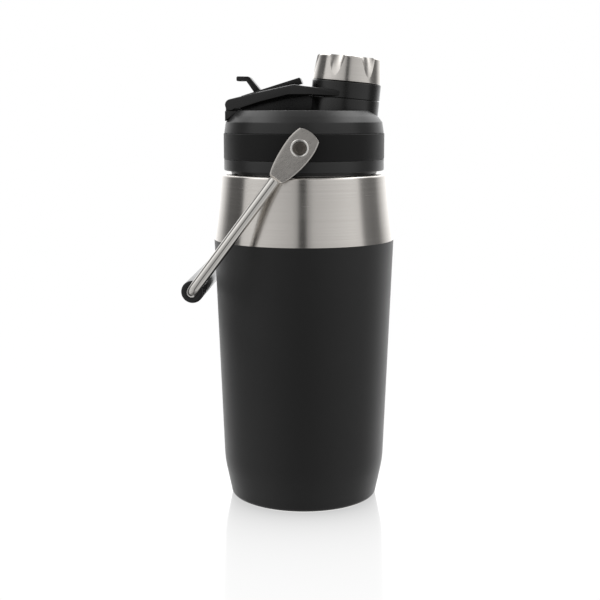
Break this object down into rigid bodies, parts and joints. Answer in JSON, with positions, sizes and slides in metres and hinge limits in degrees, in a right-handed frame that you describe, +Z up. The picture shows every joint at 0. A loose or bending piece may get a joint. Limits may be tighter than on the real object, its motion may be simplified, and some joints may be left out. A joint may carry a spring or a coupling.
{
  "type": "insulated water bottle",
  "caption": "Double-wall steel bottle with a screw lid, a tethered screw cap over an off-centre spout and a folding bail handle.",
  "frame": {"origin": "centre of the base on the ground", "axes": "+Z up along the bottle's axis, +X towards the spout, handle pivots on +Y and -Y"},
  "size_m": [0.0896, 0.0868, 0.1969],
  "materials": {
    "steel": "fine circumferential brushing",
    "coat": "satin black powder coat",
    "grey_plastic": "matt moulded",
    "black_plastic": "fine moulded texture",
    "inner_plastic": "smooth moulded",
    "black_rubber": "matt",
    "silicone": "translucent matt",
    "screw_steel": "dark turned",
    "pin_steel": "ground",
    "brass": "turned"
  },
  "bodies": {
    "bottle": {"outer_shell": "steel", "powder_coat": "coat", "inner_liner": "steel", "base_plate": "steel", "vacuum_plug": "black_rubber"},
    "lid_seal": {"lid_gasket": "silicone"},
    "lid": {"lid_collar": "grey_plastic", "grip_band": "black_rubber", "lid_top": "black_plastic", "lid_insert": "inner_plastic", "pivot_inserts": "brass", "pivot_washers": "pin_steel", "pivot_screws": "screw_steel"},
    "bail": {"bail_frame": "steel", "bail_grip": "black_rubber"},
    "strap": {"tether_strap": "black_plastic", "strap_pin": "pin_steel", "lever_pin": "pin_steel", "lever_spring": "pin_steel"},
    "lever": {"lock_lever": "black_plastic"},
    "cap": {"cap_core": "black_plastic", "cap_shell": "steel", "cap_seal": "silicone", "cap_retainer": "black_plastic"}
  },
  "joints": [
    {"name": "lid_rise", "type": "slide", "parent": "bottle", "child": "lid_seal", "axis": [0, 0, 1], "range_m": [0, 0.0125]},
    {"name": "lid_turn", "type": "hinge", "parent": "lid_seal", "child": "lid", "pos_m": [0, 0, 0.155], "axis": [0, 0, 1], "range_deg": [0, 540]},
    {"name": "bail_swing", "type": "hinge", "parent": "lid", "child": "bail", "pos_m": [0, 0, 0.1573], "axis": [0, 1, 0], "range_deg": [0, 285]},
    {"name": "strap_flip", "type": "hinge", "parent": "lid", "child": "strap", "pos_m": [-0.0312, 0, 0.175], "axis": [0, -1, 0], "range_deg": [0, 165]},
    {"name": "lever_press", "type": "hinge", "parent": "strap", "child": "lever", "pos_m": [-0.0195, 0, 0.179], "axis": [0, 1, 0], "range_deg": [0, 6], "stiffness_Nm_per_rad": 0.5, "deforming": ["lever_spring"]},
    {"name": "cap_turn", "type": "hinge", "parent": "strap", "child": "cap", "pos_m": [0.018, 0, 0.1778], "axis": [0.0924, 0, 0.9957], "range_deg": [0, 360]}
  ],
  "couplings": [
    {"joint": "lid_rise", "follows": "lid_turn", "m_per_rad": 0.0012732}
  ]
}
